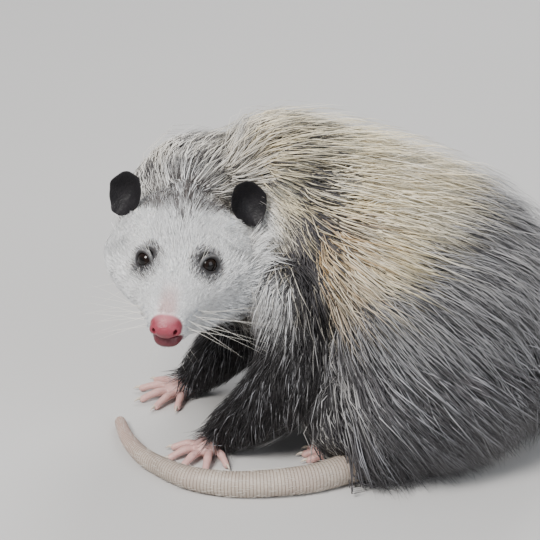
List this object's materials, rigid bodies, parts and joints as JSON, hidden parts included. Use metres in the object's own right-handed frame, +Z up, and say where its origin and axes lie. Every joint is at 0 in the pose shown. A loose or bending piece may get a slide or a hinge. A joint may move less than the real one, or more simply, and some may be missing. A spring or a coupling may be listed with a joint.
{
  "type": "opossum model",
  "caption": "Still, life-size museum-style model of an opossum in a sitting crouch, its head turned to its left and its bare tail curled round its feet.",
  "frame": {"origin": "centre of the bounding box on the floor plane that the soles and the tail rest on", "axes": "+Z up; the body heads towards -X with its left side towards -Y, and the turned face looks along -Y"},
  "size_m": [0.299, 0.2038, 0.2043],
  "materials": {
    "face_coat": "white fur",
    "body_coat": "grizzled cream and grey guard hair over dark underfur",
    "dark_coat": "black-brown fur",
    "bare_skin": "bare pink skin",
    "tail_skin": "fine scale rings",
    "ear_skin": "matt black skin",
    "eye": "wet gloss",
    "claw": "horn"
  },
  "bodies": {
    "root": {"head": "face_coat", "neck": "body_coat", "torso": "body_coat", "ear_left": "ear_skin", "ear_right": "ear_skin", "eye_left": "eye", "eye_right": "eye", "foreleg_left": "dark_coat", "foreleg_right": "dark_coat", "forepaw_left": "bare_skin", "forepaw_right": "bare_skin", "hindleg_left": "body_coat", "hindleg_right": "body_coat", "hindpaw_left": "bare_skin", "hindpaw_right": "bare_skin", "tail_root": "tail_skin", "tail_base": "tail_skin", "tail_middle": "tail_skin", "tail_tip": "tail_skin"}
  },
  "joints": []
}
